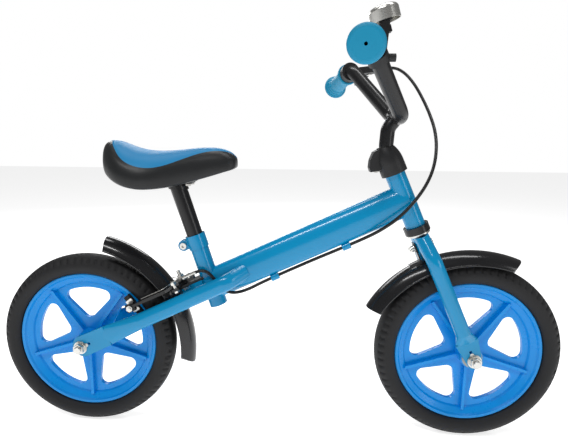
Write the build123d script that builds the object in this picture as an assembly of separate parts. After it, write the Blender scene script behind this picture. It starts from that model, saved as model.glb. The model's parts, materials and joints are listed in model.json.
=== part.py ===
from build123d import *
from math import cos, pi, radians, sin, sqrt, tan
import os

# Balance bike for a small child, 12-inch foam tyres. Millimetres.
# Origin on the ground at mid wheelbase, +X forward, +Y to the rider's left, +Z up.

# Overall layout
wheelbase = 607.0
tyre_radius = 142.5
steering_tilt = 24.2        # steering axis leans back from vertical
main_slope = 25.3           # main tube climbs towards the head tube
main_height_mid = 286.7     # main tube axis above the ground at mid wheelbase
seat_tilt = 18.0            # seat tube leans back from vertical
running_gap = 0.08          # radial clearance of a part that turns or slides on another
free_gap = 0.3              # space between bodies that only pass each other

# Wheels
tyre_width = 43.0
rim_radius = 112.4
rim_width = 28.4
rim_lip = 7.0               # radial width of the rounded outer lip
rim_depth = 15.0            # rim radius minus web edge radius
web_thickness = 7.0
window_outer = 87.0
window_apex = 31.0          # sharp corner of the window towards the hub, before rounding
window_half_angle = 44.0
window_corner = 10.5
spoke_count = 5
rib_thickness = 4.5
rib_width = 22.0
hub_radius = 17.0
hub_width = 60.0
bush_radius = 10.5
bush_flange = 2.0
axle_radius = 4.75
axle_length = 94.0

# Axle hardware
dropout_thickness = 6.0
dropout_inner = 34.0        # half of the gap between the dropouts
washer_radius = 10.5
washer_thickness = 1.6
nut_flats = 15.0
nut_height = 7.5
cap_radius = 5.6
cap_height = 3.4

# Frame tubes
head_tube_radius = 15.0
head_tube_wall = 1.2
head_tube_low = 218.0       # along the steering axis, measured from the front axle
head_tube_length = 86.0
main_tube_height = 50.0
main_tube_width = 32.0
main_tube_wall = 1.8
main_tube_rear = -104.0     # x where the main tube ends, behind the seat tube
seat_tube_radius = 14.3
seat_tube_wall = 1.42
seat_tube_low = -34.0       # along the seat axis, measured from the main tube axis
seat_tube_high = 85.0
collar_radius = 15.9
collar_height = 22.0
ear_radius = 8.6
ear_thickness = 4.4
ear_slot = 2.4
ear_reach = 21.5            # seat tube axis to clamp bolt axis
ear_drop = 11.6             # clamp bolt below the top of the collar
stay_height = 25.0
stay_width = 18.0
stay_wall = 1.6
stay_front_x = -46.0
stay_front_y = 11.0
stay_bend_x = -70.0
stay_bend_y = 34.0
stay_rear_y = 37.0
stay_bend_radius = 26.0
stay_flatten_start = 105.0  # from the rear axle along the stay
stay_plate_end = 42.0
stay_plate_height = 33.0
rear_lobe_radius = 17.0

# Headset and stem clamp
lower_cup_radius = 19.3
upper_cup_radius = 17.4
cup_wall = 1.4
cup_height = 11.0
cup_skirt = 12.0
ball_radius = 2.0
ball_count = 18
steerer_radius = 11.9
stem_radius = 10.5
steerer_low = 176.0
steerer_high = 330.0
clamp_height = 15.0
clamp_radius = 16.2
cover_radius = 19.6
cover_height = 46.0
cover_wall = 1.8
hood_reach = 33.0
hood_half_width = 9.5

clamp_ear_reach = 23.0
clamp_ear_half = 4.0
hood_foot = 9.0
cover_hole_radius = 12.6
cover_hole_shift = 1.6

# Fork
blade_radius = 11.1
blade_wall = 1.6
blade_top = 212.0
blade_top_y = 6.0
blade_shoulder = 166.0
blade_flatten = 46.0
blade_plate_start = 29.0
blade_plate_width = 35.0
blade_plate_low = 14.0      # plate reach below the axle
blade_bend_radius = 26.0

# Handlebar
bar_radius = 11.1
bar_wall = 1.8
bar_elbow = (178.2, 29.4, 502.0)
bar_shoulder = (121.5, 104.5, 583.5)
grip_length = 82.0
grip_end = (100.5, 202.0, 565.0)
bar_elbow_radius = 30.0
bar_shoulder_radius = 28.0
stem_wall = 2.4
stem_low = 262.0
stem_kink = 341.0
stem_kink_radius = 45.0
stem_rise = (165.6, 0.0, 486.0)
stem_rise_radius = 20.0
grip_radius = 14.4
grip_flange_radius = 20.4
grip_end_wall = 5.0
grip_hole_radius = 2.0

# Brake lever and bell
lever_forward = (0.98, 0.0, 0.19)
lever_bracket_width = 13.0
lever_bracket_height = 11.0
lever_barrel_end = 68.0
lever_pivot = (36.0, 6.5)
lever_pin_radius = 2.2
lever_thickness = 5.0
bell_along_limb = 104.0
bell_clamp_width = 11.0
bell_offset = (7.6, -2.9, 41.9)
bell_lean = (-0.29, 0.0, 0.957)
bell_radius = 18.4
bell_height = 18.0
bell_wall = 1.1
striker_pivot = (11.0, -7.0)
striker_reach = 8.0

# Mudguards
front_guard_bolt = 185.0
strap_half_width = 7.0
guard_half_width = 23.0
guard_wall = 2.0
guard_bead = 1.7            # radius of the rolled edge
guard_crown = 18.0          # how far the middle of the arch stands above its edges
front_guard_radius = 184.3
front_guard_shift = (2.5, -23.0)
front_guard_from = 68.3
front_guard_to = 150.6
front_guard_tips = (22.0, 9.0)
rear_guard_radius = 188.2
rear_guard_shift = (-13.0, -10.0)
rear_guard_from = -7.8
rear_guard_to = 75.0
rear_guard_tips = (23.0, 10.0)

# Rear brake
brake_x = -137.5            # brake bolt foot on the main tube axis
bracket_level = 15.0        # underside of the bracket plate above the stays' axis
bracket_thickness = 4.0
arm_thickness = 4.2
arm_width = 12.0
arm_side = 33.0
pad_back = 82.0             # brake bolt to pad, along the stays
pad_gap = 1.6
pad_thickness = 8.0
pad_height = 9.0
pad_length = 36.0
brake_bolt_radius = 3.0
brake_bolt_top = 42.5
pad_level = 24.4            # above the stays' axis
barrel_back = 20.0
barrel_lift = 3.6
barrel_side = 20.5
anchor_back = 4.0
anchor_side = 31.0

# Seat
post_radius = 12.7
post_wall = 1.8
post_low = 14.0
post_high = 166.0
saddle_sections = (         # x, half width, underside, top
    (-261.5, 10.0, 430.0, 452.0),
    (-258.0, 24.0, 424.0, 461.0),
    (-250.0, 39.0, 415.5, 466.0),
    (-236.0, 53.5, 406.5, 464.0),
    (-215.0, 64.0, 398.5, 455.5),
    (-190.0, 66.0, 395.0, 451.0),
    (-165.0, 58.0, 396.5, 450.5),
    (-140.0, 45.0, 400.5, 452.5),
    (-112.0, 33.0, 408.5, 455.5),
    (-85.0, 26.5, 416.5, 455.5),
    (-68.0, 22.0, 421.5, 449.5),
    (-58.0, 14.0, 425.5, 441.0),
)
pan_thickness = 3.0
pan_inset = 3.0
pan_depth = 10.0
saddle_plate_low = 401.2
saddle_plate_thickness = 2.5

# Cable
cable_radius = 2.5
cable_points = (
    (178.1, 130.5, 590.6),
    (195.8, 134.8, 593.4),
    (214.0, 131.0, 584.0),
    (228.0, 119.0, 565.0),
    (238.0, 101.0, 541.0),
    (245.5, 78.0, 514.0),
    (249.5, 53.0, 486.0),
    (247.0, 29.0, 459.0),
    (238.5, 6.0, 431.0),
    (225.0, -11.0, 406.0),
    (207.0, -21.0, 382.0),
    (185.0, -23.5, 357.0),
    (158.0, -17.0, 334.5),
    (128.0, -6.0, 315.8),
    (93.0, -3.5, 299.0),
    (56.0, -3.0, 281.9),
    (19.0, -3.2, 264.2),
    (-17.0, -4.5, 247.0),
    (-46.0, -10.0, 232.6),
    (-66.0, -17.5, 230.8),
    (-80.0, -20.6, 238.5),
    (-89.0, -20.7, 250.0),
    (-100.3, -20.6, 263.4),
    (-107.6, -20.5, 267.0),
    (-115.7, -20.5, 267.1),
    (-123.8, -20.5, 263.3),
)

cable_guide_runs = (13, 16)
guide_radius = 5.6
guide_length = 13.0

front_axle = Vector(wheelbase / 2, 0, tyre_radius)
rear_axle = Vector(-wheelbase / 2, 0, tyre_radius)
steer_up = Vector(-sin(radians(steering_tilt)), 0, cos(radians(steering_tilt)))
steer_across = Vector(cos(radians(steering_tilt)), 0, sin(radians(steering_tilt)))
main_along = Vector(cos(radians(main_slope)), 0, sin(radians(main_slope)))
main_normal = Vector(-sin(radians(main_slope)), 0, cos(radians(main_slope)))
seat_up = Vector(-sin(radians(seat_tilt)), 0, cos(radians(seat_tilt)))
seat_back = Vector(-cos(radians(seat_tilt)), 0, -sin(radians(seat_tilt)))
left = Vector(0, 1, 0)


def main_axis(x):
    return Vector(x, 0, main_height_mid + x * tan(radians(main_slope)))


seat_foot = main_axis(-100.3)
brake_foot = main_axis(brake_x)


def on_steering(s, y=0.0, across=0.0):
    return front_axle + steer_up * s + left * y + steer_across * across


def steering_plane(s, y=0.0, across=0.0):
    return Plane(origin=on_steering(s, y, across), x_dir=steer_across, z_dir=steer_up)


def on_brake(b, y, n):
    return brake_foot + main_along * b + left * y + main_normal * n


def brake_plane(n, b=0.0, y=0.0):
    return Plane(origin=on_brake(b, y, n), x_dir=main_along, z_dir=main_normal)


def side_plane(point):
    # x forward, y up, normal towards the rider's right
    return Plane(origin=point, x_dir=(1, 0, 0), z_dir=(0, -1, 0))


def rod(start, end, radius):
    start = Vector(start)
    end = Vector(end)
    along = end - start
    plane = Plane(origin=start, z_dir=along)
    return extrude(plane * Circle(radius), along.length)


def ring(start, end, outer, inner):
    return rod(start, end, outer) - rod(start, end, inner)


def hexagon(start, end, flats):
    start = Vector(start)
    along = Vector(end) - start
    plane = Plane(origin=start, z_dir=along)
    return extrude(plane * RegularPolygon(flats / 2, 6, major_radius=False), along.length)


def swept(path, radius):
    start = Plane(origin=path @ 0, z_dir=path % 0)
    return sweep(start * Circle(radius), path=path)


def mirrored(shape):
    return mirror(shape, about=Plane.XZ)


def save(shape, name):
    solids = shape.solids() if hasattr(shape, "solids") else shape
    whole = Compound(children=list(solids)) if len(solids) > 1 else solids[0]
    export_step(whole, "parts/" + name + ".step")


def join(pieces):
    solids = []
    for piece in pieces:
        solids.extend(piece.solids())
    return Compound(children=solids)


# Wheels: built about the Z axis, then turned so that the axle lies along Y

def place_wheel(shape, axle):
    return Pos(axle.X, axle.Y, axle.Z) * Rot(90, 0, 0) * shape


def wheel_window():
    half = radians(window_half_angle)
    along = (sqrt(window_outer ** 2 - (window_apex * sin(half)) ** 2) - window_apex * cos(half))
    corner_x = window_apex + along * cos(half)
    corner_y = along * sin(half)
    edge = Line((window_apex, 0), (corner_x, corner_y))
    edge += ThreePointArc((corner_x, corner_y), (window_outer, 0), (corner_x, -corner_y))
    edge += Line((corner_x, -corner_y), (window_apex, 0))
    face = make_face(edge)
    return fillet(face.vertices(), window_corner)


def mag_wheel():
    web_edge = rim_radius - rim_depth
    half = rim_width / 2
    lip = rim_radius - rim_lip
    step = 3.0
    rim = Polyline(
        (web_edge - 2, 0), (web_edge - 2, web_thickness / 2), (web_edge, web_thickness / 2 + step),
        (lip, half - step), (lip + 2.0, half), (rim_radius - 1.0, half), (rim_radius, half - 1.0),
        (rim_radius, 0), (web_edge - 2, 0),
    )
    rim_face = Plane.XZ * make_face(rim)
    upper = revolve(rim_face, Axis.Z)
    wheel = upper + mirror(upper, about=Plane.XY)
    wheel += Cylinder(web_edge, web_thickness)
    for i in range(spoke_count):
        turn = -90 + 360 / spoke_count * (i + 0.5)
        window = extrude(wheel_window(), web_thickness, both=True)
        wheel -= Rot(0, 0, turn) * window
    for i in range(spoke_count):
        turn = -90 + 360 / spoke_count * i
        reach = web_edge + 1.5
        wheel += Rot(0, 0, turn) * Pos(reach / 2, 0, 0) * Box(reach, rib_thickness, rib_width)
    wheel += Cylinder(hub_radius, hub_width)
    wheel -= Cylinder(bush_radius, hub_width + 2)
    return wheel


def hub_bushes():
    bushes = []
    for side in (1, -1):
        barrel = Pos(0, 0, side * (hub_width / 2 - 6)) * Cylinder(bush_radius, 12)
        flange = Pos(0, 0, side * (hub_width / 2 + bush_flange / 2)) * Cylinder(hub_radius - 2, bush_flange)
        bush = barrel + flange
        bushes.append(bush - Cylinder(axle_radius + running_gap, hub_width + 20))
    return bushes


def tyre():
    half_seat = rim_width / 2
    half = tyre_width / 2
    edge = Line((rim_radius, 0), (rim_radius, half_seat))
    edge += ThreePointArc((rim_radius, half_seat), (rim_radius + 4.5, half - 2.2), (rim_radius + 11.5, half))
    edge += ThreePointArc(
        (rim_radius + 11.5, half), (tyre_radius - 5.2, half * 0.70), (tyre_radius, 0)
    )
    edge += Line((tyre_radius, 0), (rim_radius, 0))
    upper = revolve(Plane.XZ * make_face(edge), Axis.Z)
    return upper + mirror(upper, about=Plane.XY)


def axle_set(axle, tab_direction):
    # Everything on one axle, as lists of solids
    half = axle_length / 2
    outer = dropout_inner + dropout_thickness
    rod_piece = rod(axle - left * half, axle + left * half, axle_radius)
    spacers = []
    washers = []
    nuts = []
    caps = []
    for side in (1, -1):
        out = left * side
        bush_end = hub_width / 2 + bush_flange + free_gap
        spacers.append(ring(axle + out * bush_end, axle + out * dropout_inner, 9.0, axle_radius))
        washer = ring(axle + out * outer, axle + out * (outer + washer_thickness), washer_radius, axle_radius)
        tab_centre = axle + out * (outer + washer_thickness / 2) + tab_direction * 11.0
        tab = extrude(side_plane(tab_centre) * Circle(3.0), washer_thickness / 2, both=True)
        washers.append(washer + tab)
        nut_start = outer + washer_thickness
        nut = hexagon(axle + out * nut_start, axle + out * (nut_start + nut_height), nut_flats)
        nut += rod(axle + out * nut_start, axle + out * (nut_start + 1.6), 9.6)
        hole = rod(axle + out * (nut_start - 1), axle + out * (nut_start + nut_height + 1), axle_radius)
        nuts.append(nut - hole)
        cap_start = nut_start + nut_height
        cap = rod(axle + out * (half + 0.2), axle + out * cap_start, axle_radius)
        cap += rod(axle + out * cap_start, axle + out * (cap_start + cap_height), cap_radius)
        caps.append(fillet(cap.edges().sort_by(Axis.Y)[-1 if side > 0 else 0], 1.2))
    return rod_piece, spacers, washers, nuts, caps


# Frame

def head_tube():
    top = head_tube_low + head_tube_length
    outer = rod(on_steering(head_tube_low), on_steering(top), head_tube_radius)
    inner = rod(on_steering(head_tube_low - 1), on_steering(top + 1), head_tube_radius - head_tube_wall)
    return outer, inner


def main_tube_solid(inset, extra=0.0):
    front_x = 200.0
    start = main_axis(main_tube_rear - extra)
    end = main_axis(front_x)
    plane = Plane(origin=start, x_dir=main_normal, z_dir=main_along)
    section = Ellipse(main_tube_height / 2 - inset, main_tube_width / 2 - inset)
    return extrude(plane * section, (end - start).length)


def seat_tube_cylinder(radius, extra=0.0):
    low = seat_foot + seat_up * (seat_tube_low - extra)
    high = seat_foot + seat_up * (seat_tube_high + extra)
    return rod(low, high, radius)


def clamp_bolt_centre():
    return seat_foot + seat_up * (seat_tube_high - ear_drop) + seat_back * ear_reach


def seat_tube():
    tube = seat_tube_cylinder(seat_tube_radius)
    top = seat_foot + seat_up * seat_tube_high
    tube += rod(top - seat_up * collar_height, top, collar_radius)
    centre = clamp_bolt_centre()
    half = ear_slot / 2 + ear_thickness
    ear = extrude(Plane(origin=centre, x_dir=seat_back, z_dir=left) * Circle(ear_radius), half, both=True)
    web_centre = centre - seat_back * ear_reach / 2
    web = Plane(origin=web_centre, x_dir=seat_back, z_dir=left) * Rectangle(ear_reach, ear_radius * 2 - 1.5)
    tube += ear + extrude(web, half, both=True)
    bore = seat_tube_radius - seat_tube_wall
    tube -= seat_tube_cylinder(bore, 1.0)
    slot_length = collar_height + 12.0
    slot_centre = seat_foot + seat_up * (seat_tube_high - slot_length / 2 + 1) + seat_back * 22.0
    slot = Plane(origin=slot_centre, x_dir=seat_back, z_dir=left) * Rectangle(44.0, slot_length)
    tube -= extrude(slot, ear_slot / 2, both=True)
    tube -= rod(centre - left * 12, centre + left * 12, 3.1)
    return tube


def seat_clamp_bolt():
    centre = clamp_bolt_centre()
    outer = ear_slot / 2 + ear_thickness
    bolt = rod(centre - left * (outer + 4.0), centre + left * (outer + 6.5), 3.0)
    bolt += rod(centre - left * (outer + 4.4), centre - left * outer, 5.2)
    socket = hexagon(centre - left * (outer + 4.6), centre - left * (outer + 1.6), 4.6)
    nut = hexagon(centre + left * outer, centre + left * (outer + 5.0), 10.0)
    nut -= rod(centre + left * (outer - 1), centre + left * (outer + 6), 3.0)
    return bolt - socket, nut


def stay_axis(t):
    # Point on the stay's centreline, measured from the rear axle, for the right side
    return rear_axle + main_along * t - left * stay_rear_y


def chain_stay_right():
    front = main_axis(stay_front_x) - left * stay_front_y
    bend = main_axis(stay_bend_x) - left * stay_bend_y
    flat_start = stay_axis(stay_flatten_start)
    path = FilletPolyline(front, bend, flat_start, radius=stay_bend_radius)
    plane = Plane(origin=front, x_dir=main_normal, z_dir=path % 0)
    outer = sweep(plane * Ellipse(stay_height / 2, stay_width / 2), path=path)
    hollow = sweep(plane * Ellipse(stay_height / 2 - stay_wall, stay_width / 2 - stay_wall), path=path)
    round_end = Plane(origin=flat_start, x_dir=main_normal, z_dir=path % 1)
    flat_end = Plane(origin=stay_axis(stay_plate_end), x_dir=main_normal, z_dir=-main_along)
    flattened = loft([
        round_end * Ellipse(stay_height / 2, stay_width / 2),
        flat_end * Ellipse(stay_plate_height / 2, dropout_thickness / 2),
    ])
    lobe_offset = 5.0
    lobe_centre = stay_axis(lobe_offset)
    plate_plane = Plane(origin=stay_axis(0), x_dir=main_along, z_dir=-left)
    half = stay_plate_height / 2 - 0.5
    plate_outline = Polyline(
        (stay_plate_end + 6, half), (lobe_offset, rear_lobe_radius),
        (lobe_offset, -rear_lobe_radius), (stay_plate_end + 6, -half), (stay_plate_end + 6, half),
    )
    plate = extrude(plate_plane * make_face(plate_outline), dropout_thickness / 2, both=True)
    plate += extrude(side_plane(lobe_centre) * Circle(rear_lobe_radius), dropout_thickness / 2, both=True)
    stay = outer + flattened + plate - hollow
    stay -= rod(rear_axle - left * 60, rear_axle, axle_radius + 0.15)
    slot_plane = Plane(origin=stay_axis(-15.0), x_dir=main_along, z_dir=-left)
    stay -= extrude(slot_plane * Rectangle(30.0, axle_radius * 2 + 0.3), 12.0, both=True)
    hole = stay_axis(15.5)
    stay -= rod(hole - left * 12, hole + left * 12, 2.3)
    stay -= main_tube_solid(0)
    return stay.solids().sort_by(SortBy.VOLUME)[-1]


def cable_guides():
    guides = []
    bore = cable_radius + 0.45
    for i in cable_guide_runs:
        start = Vector(cable_points[i])
        end = Vector(cable_points[i + 1])
        middle = (start + end) * 0.5
        along = (end - start).normalized() * (guide_length / 2)
        guide = rod(middle - along, middle + along, guide_radius)
        guide -= main_tube_solid(0)
        guides.append(guide - rod(middle - along * 2, middle + along * 2, bore))
    return guides


# Headset: cups pressed into the head tube, balls, race and cone

def headset_cup(face, away, radius):
    # face is the end of the head tube, away points out of the tube
    inner = head_tube_radius - head_tube_wall
    plate = ring(face, face + away * 2.0, radius, inner - 1.2)
    wall = ring(face + away * 2.0, face + away * cup_height, radius, radius - cup_wall)
    skirt = ring(face, face - away * cup_skirt, inner, inner - 1.2)
    return plate + wall + skirt


def headset_cups():
    low = on_steering(head_tube_low)
    high = on_steering(head_tube_low + head_tube_length)
    return [
        headset_cup(low, -steer_up, lower_cup_radius),
        headset_cup(high, steer_up, upper_cup_radius),
    ]


def ball_circle(s, cup_radius):
    pitch = cup_radius - cup_wall - ball_radius - 0.1
    balls = []
    for i in range(ball_count):
        angle = 2 * pi * i / ball_count
        centre = on_steering(s, pitch * sin(angle), pitch * cos(angle))
        balls.append(Pos(centre.X, centre.Y, centre.Z) * Sphere(ball_radius))
    return balls


def bearing_balls():
    low = head_tube_low - 2.1 - ball_radius
    high = head_tube_low + head_tube_length + 2.1 + ball_radius
    return ball_circle(low, lower_cup_radius) + ball_circle(high, upper_cup_radius)


def crown_race():
    base = head_tube_low - cup_height - 3.4
    seat = ring(on_steering(base), on_steering(base + 3.0), lower_cup_radius - 1.5, steerer_radius)
    return seat + ring(on_steering(base), on_steering(base + 6.5), lower_cup_radius - 6.0, steerer_radius)


def headset_cone():
    base = head_tube_low + head_tube_length + 2.3 + 2 * ball_radius
    radius = upper_cup_radius - cup_wall - free_gap
    return ring(on_steering(base), on_steering(base + 4.5), radius, steerer_radius)


def clamp_ear_centre():
    return on_steering(steerer_high - clamp_height / 2, 0, -clamp_ear_reach)


def stem_clamp():
    low = steerer_high - clamp_height
    collar = ring(on_steering(low), on_steering(steerer_high), clamp_radius, steerer_radius)
    ear_plane = Plane(origin=clamp_ear_centre(), x_dir=steer_across, z_dir=-left)
    ear = extrude(ear_plane * Circle(clamp_height / 2 - 1), clamp_ear_half, both=True)
    reach = clamp_ear_reach - steerer_radius - 1
    web_centre = on_steering(steerer_high - clamp_height / 2, 0, -clamp_ear_reach + reach / 2)
    web_plane = Plane(origin=web_centre, x_dir=steer_across, z_dir=-left)
    ear += extrude(web_plane * Rectangle(reach, clamp_height - 2), clamp_ear_half, both=True)
    collar += ear
    collar -= rod(on_steering(low - 1), on_steering(steerer_high + 1), steerer_radius)
    slot_place = on_steering(steerer_high - clamp_height / 2, 0, -25)
    slot_plane = Plane(origin=slot_place, x_dir=steer_across, z_dir=-left)
    collar -= extrude(slot_plane * Rectangle(40, clamp_height + 2), 1.0, both=True)
    centre = clamp_ear_centre()
    return collar - rod(centre - left * 9, centre + left * 9, 2.6)


def stem_clamp_bolt():
    centre = clamp_ear_centre()
    bolt = rod(centre - left * clamp_ear_half, centre + left * (clamp_ear_half + 3.2), 2.5)
    bolt += rod(centre - left * (clamp_ear_half + 3.0), centre - left * clamp_ear_half, 4.3)
    nut = hexagon(centre + left * clamp_ear_half, centre + left * (clamp_ear_half + 3.2), 8.0)
    nut -= rod(centre, centre + left * 12, 2.5)
    return [bolt, nut]


def cover_profile(wall):
    # Half section of the dome: across the axis, along the axis from the cover's foot
    side = cover_radius - wall
    top = cover_height - wall
    low = 0.0 if wall == 0 else -1.0
    line = Polyline((0, low), (side, low), (side, 14.0))
    line += ThreePointArc((side, 14.0), (side - 2.4, top * 0.68), (side * 0.5, top))
    line += Polyline((side * 0.5, top), (0, top), (0, low))
    return make_face(line)


def hood_outline(wall):
    # Seen from the side: across the axis, along the axis from the cover's foot
    foot = hood_foot - (3.0 if wall else 0.0)
    line = Polyline(
        (-4, foot), (-hood_reach + wall, foot + 7.5), (-hood_reach + wall + 0.6, foot + 14 - wall),
        (-hood_reach + 6.0 + wall, foot + 24 - wall), (-hood_reach + 15.0, foot + 33 - wall),
        (-8, cover_height - 3.0 - wall), (-4, cover_height - 3.0 - wall), (-4, foot),
    )
    return make_face(line)


def headset_cover():
    foot = head_tube_low + head_tube_length + 0.4
    base = steering_plane(foot)
    section = Plane(origin=on_steering(foot), x_dir=steer_across, z_dir=-left)
    axis = Axis(on_steering(foot), steer_up)
    outer = revolve(section * cover_profile(0), axis)
    inner = revolve(section * cover_profile(cover_wall), axis)
    hood = extrude(section * hood_outline(0), hood_half_width, both=True)
    hood_inner = extrude(section * hood_outline(cover_wall), hood_half_width - cover_wall, both=True)
    hole = extrude(base * Pos(cover_hole_shift, 0, 0) * Circle(cover_hole_radius), cover_height + 5)
    return outer + hood - inner - hood_inner - hole


# Fork

def steerer():
    tube = rod(on_steering(steerer_low), on_steering(steerer_high), steerer_radius)
    tube -= rod(on_steering(steerer_low - 1), on_steering(steerer_high + 1), stem_radius + running_gap)
    slot_plane = Plane(origin=on_steering(steerer_high - 6, 0, -15), x_dir=steer_across, z_dir=-left)
    tube -= extrude(slot_plane * Rectangle(22, 26), 1.0, both=True)
    bolt = guard_bolt_centre()
    return tube - rod(bolt - steer_across * 30, bolt + steer_across * 30, 3.1)


def guard_bolt_centre():
    return on_steering(front_guard_bolt)


def fork_blade_right():
    top = on_steering(blade_top, -blade_top_y)
    shoulder = on_steering(blade_shoulder, -stay_rear_y)
    flat = on_steering(blade_flatten, -stay_rear_y)
    path = FilletPolyline(top, shoulder, flat, radius=blade_bend_radius)
    outer = swept(path, blade_radius)
    hollow = swept(path, blade_radius - blade_wall)
    flattened = loft([
        steering_plane(blade_flatten, -stay_rear_y) * Circle(blade_radius),
        steering_plane(blade_plate_start, -stay_rear_y)
        * Ellipse(blade_plate_width / 2, dropout_thickness / 2),
    ])
    plate_plane = Plane(origin=on_steering(0, -stay_rear_y), x_dir=steer_across, z_dir=-left)
    half = blade_plate_width / 2 - 0.4
    tip = 11.5
    tip_drop = tip - blade_plate_low
    outline = Polyline(
        (-half, blade_plate_start + 3), (-tip, tip_drop), (tip, tip_drop), (half, blade_plate_start + 3),
        (-half, blade_plate_start + 3),
    )
    plate = extrude(plate_plane * make_face(outline), dropout_thickness / 2, both=True)
    plate += extrude(plate_plane * Pos(0, tip_drop, 0) * Circle(tip), dropout_thickness / 2, both=True)
    blade = outer + flattened + plate - hollow
    slot_half = axle_radius + 0.15
    blade -= extrude(plate_plane * Circle(slot_half), 8, both=True)
    blade -= extrude(plate_plane * Pos(0, -15, 0) * Rectangle(slot_half * 2, 30), 8, both=True)
    blade -= extrude(plate_plane * Pos(0, 15.5, 0) * Circle(2.3), 8, both=True)
    blade -= rod(on_steering(blade_shoulder - 10), on_steering(blade_top + 20), steerer_radius)
    ceiling = head_tube_low - cup_height - 3.6
    blade -= rod(on_steering(ceiling), on_steering(ceiling + 40), 60)
    blade -= extrude(Plane.XZ.offset(0) * Rectangle(3000, 3000), -60)
    return blade.solids().sort_by(SortBy.VOLUME)[-1]


# Handlebar and what is on it

grip_axis = (Vector(bar_shoulder) - Vector(grip_end)).normalized()
grip_start = Vector(grip_end) + grip_axis * grip_length


def right_side(point):
    place = Vector(point)
    return Vector(place.X, -place.Y, place.Z)


def bar_path():
    end = Vector(grip_end) + grip_axis * grip_end_wall
    shoulder = Vector(bar_shoulder)
    elbow = Vector(bar_elbow)
    points = [right_side(end), right_side(shoulder), right_side(elbow), elbow, shoulder, end]
    radii = [bar_shoulder_radius, bar_elbow_radius, bar_elbow_radius, bar_shoulder_radius]
    return FilletPolyline(*points, radius=radii)


def handlebar():
    path = bar_path()
    return swept(path, bar_radius) - swept(path, bar_radius - bar_wall)


def stem_post():
    low = on_steering(stem_low)
    kink = on_steering(stem_kink)
    rise = Vector(stem_rise)
    top = Vector(bar_elbow[0] - 2, 0, bar_elbow[2] - 2)
    path = FilletPolyline(low, kink, rise, top, radius=[stem_kink_radius, stem_rise_radius])
    post = swept(path, stem_radius) - swept(path, stem_radius - stem_wall)
    post -= swept(bar_path(), bar_radius)
    return post.solids().sort_by(SortBy.VOLUME)[-1]


def grip_left():
    length = grip_length
    neck = grip_radius - 0.6
    outline = Polyline((0, 0), (grip_flange_radius - 6, 0.6))
    outline += ThreePointArc(
        (grip_flange_radius - 6, 0.6), (grip_flange_radius - 0.8, 3.0), (grip_flange_radius, 6.0)
    )
    outline += Polyline(
        (grip_flange_radius, 6.0), (grip_flange_radius - 1.2, 9.0), (17.4, 10.5), (16.8, 15.0)
    )
    outline += Polyline((16.8, 15.0), (15.8, 16.0), (15.4, 21.0), (grip_radius, 22.5), (neck, 45.0))
    outline += Polyline((neck, 45.0), (grip_radius, length - 12), (17.2, length - 7), (17.8, length - 2))
    outline += Polyline((17.8, length - 2), (16.8, length), (0, length), (0, 0))
    plane = Plane(origin=Vector(grip_end), x_dir=grip_axis.cross(Vector(0, 0, 1)), z_dir=grip_axis)
    profile_plane = Plane(origin=plane.origin, x_dir=plane.x_dir, z_dir=-plane.y_dir)
    grip = revolve(profile_plane * make_face(outline), Axis(plane.origin, grip_axis))
    grip -= rod(Vector(grip_end) + grip_axis * grip_end_wall, grip_start + grip_axis * 5, bar_radius)
    return grip - rod(Vector(grip_end) - grip_axis * 2, Vector(grip_end) + grip_axis * 20, grip_hole_radius)


# Brake lever: its own plane has x forward from the bar, y outwards along the grip
lever_mount = grip_start + grip_axis * 7.5
lever_up = Vector(lever_forward).cross(-grip_axis).normalized()
lever_ahead = (-grip_axis).cross(lever_up).normalized()


def lever_plane(n=0.0):
    return Plane(origin=lever_mount + lever_up * n, x_dir=lever_ahead, z_dir=lever_up)


def lever_point(x, y, n=0.0):
    return lever_mount + lever_ahead * x - grip_axis * y + lever_up * n


def lever_bracket():
    half = lever_bracket_width / 2
    collar = rod(lever_point(0, -half), lever_point(0, half), bar_radius + 4.2)
    reach = lever_pivot[0] + 12.0
    body = Polyline(
        (0, -half + 0.5), (reach, -5.2), (reach, 5.2), (lever_pivot[0], lever_pivot[1] + 6.5),
        (lever_pivot[0] - 10, half + 1.0), (0, half - 0.5), (0, -half + 0.5),
    )
    bracket = collar + extrude(lever_plane() * make_face(body), lever_bracket_height / 2, both=True)
    bracket += rod(lever_point(reach - 1, 0), lever_point(lever_barrel_end, 0), 4.6)
    pocket = Polyline(
        (lever_pivot[0] - 8.5, 0.5), (reach - 3.5, 0.5), (reach - 3.5, 20), (lever_pivot[0] - 8.5, 20),
        (lever_pivot[0] - 8.5, 0.5),
    )
    half_slot = lever_thickness / 2 + free_gap
    bracket -= extrude(lever_plane() * make_face(pocket), half_slot, both=True)
    bracket -= swept(bar_path(), bar_radius)
    bracket -= rod(lever_point(*lever_pivot, -20), lever_point(*lever_pivot, 20), lever_pin_radius)
    bracket -= rod(lever_point(reach - 5, 0), lever_point(lever_barrel_end + 1, 0), 1.4)
    socket_start = lever_point(lever_barrel_end - 8, 0)
    bracket -= rod(socket_start, lever_point(lever_barrel_end + 1, 0), cable_radius + 0.6)
    return bracket.solids().sort_by(SortBy.VOLUME)[-1]


def lever_pivot_pin():
    half = lever_bracket_height / 2
    pin = rod(lever_point(*lever_pivot, -half), lever_point(*lever_pivot, half), lever_pin_radius)
    pin += rod(lever_point(*lever_pivot, half), lever_point(*lever_pivot, half + 1.6), lever_pin_radius + 1.8)
    low = lever_point(*lever_pivot, -half)
    return pin + rod(lever_point(*lever_pivot, -half - 1.2), low, lever_pin_radius + 1.2)


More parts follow.
